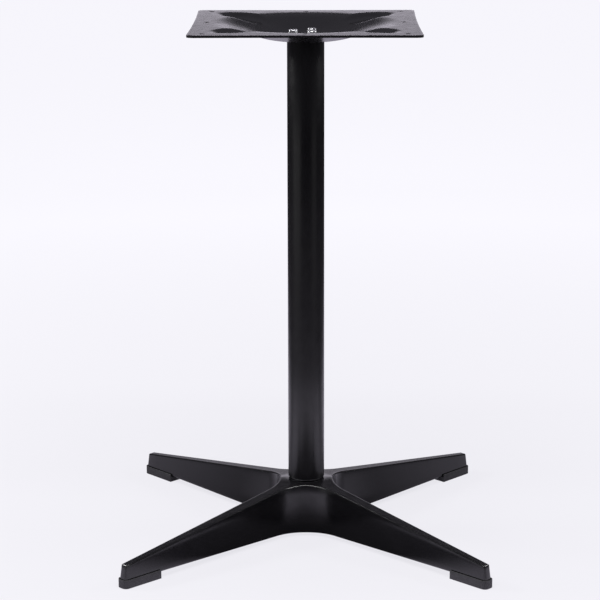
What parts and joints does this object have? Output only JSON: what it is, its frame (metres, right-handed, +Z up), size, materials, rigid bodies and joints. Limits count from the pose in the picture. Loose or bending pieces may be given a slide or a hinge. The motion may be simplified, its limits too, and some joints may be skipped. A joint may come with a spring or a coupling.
{
  "type": "pedestal table base",
  "caption": "Pedestal table base: a cast star foot on glide shoes, a round column and a square pressed plate that carries the table top.",
  "frame": {"origin": "on the floor, on the column's axis: the centre of the bounding box's lower face", "axes": "+Z up along the column; X and Y along the top plate's sides, so the legs lie on the diagonals between them"},
  "size_m": [0.4952, 0.4952, 0.72],
  "materials": {
    "plate_coat": "satin black powder coat on pressed sheet steel",
    "column_coat": "satin black powder coat on steel tube",
    "casting_coat": "satin black powder coat on cast iron",
    "bare_steel": "machined steel, oiled dark",
    "zinc_plate": "bright zinc plate",
    "shoe_plastic": "matte dark grey moulded plastic with a faint grain"
  },
  "bodies": {
    "root": {"top_plate": "plate_coat", "column_tube": "column_coat", "column_top_insert": "bare_steel", "column_bottom_insert": "bare_steel", "star_base": "casting_coat", "shoe_rear_right": "shoe_plastic", "shoe_rear_left": "shoe_plastic", "shoe_front_left": "shoe_plastic", "shoe_front_right": "shoe_plastic", "shoe_screw_rear_right": "zinc_plate", "shoe_screw_rear_left": "zinc_plate", "shoe_screw_front_left": "zinc_plate", "shoe_screw_front_right": "zinc_plate", "top_screw_1": "zinc_plate", "top_flat_washer_1": "zinc_plate", "bottom_screw_1": "zinc_plate", "bottom_spring_washer_1": "zinc_plate", "bottom_flat_washer_1": "zinc_plate", "top_screw_2": "zinc_plate", "top_flat_washer_2": "zinc_plate", "bottom_screw_2": "zinc_plate", "bottom_spring_washer_2": "zinc_plate", "bottom_flat_washer_2": "zinc_plate", "top_screw_3": "zinc_plate", "top_flat_washer_3": "zinc_plate", "bottom_screw_3": "zinc_plate", "bottom_spring_washer_3": "zinc_plate", "bottom_flat_washer_3": "zinc_plate"}
  },
  "joints": []
}
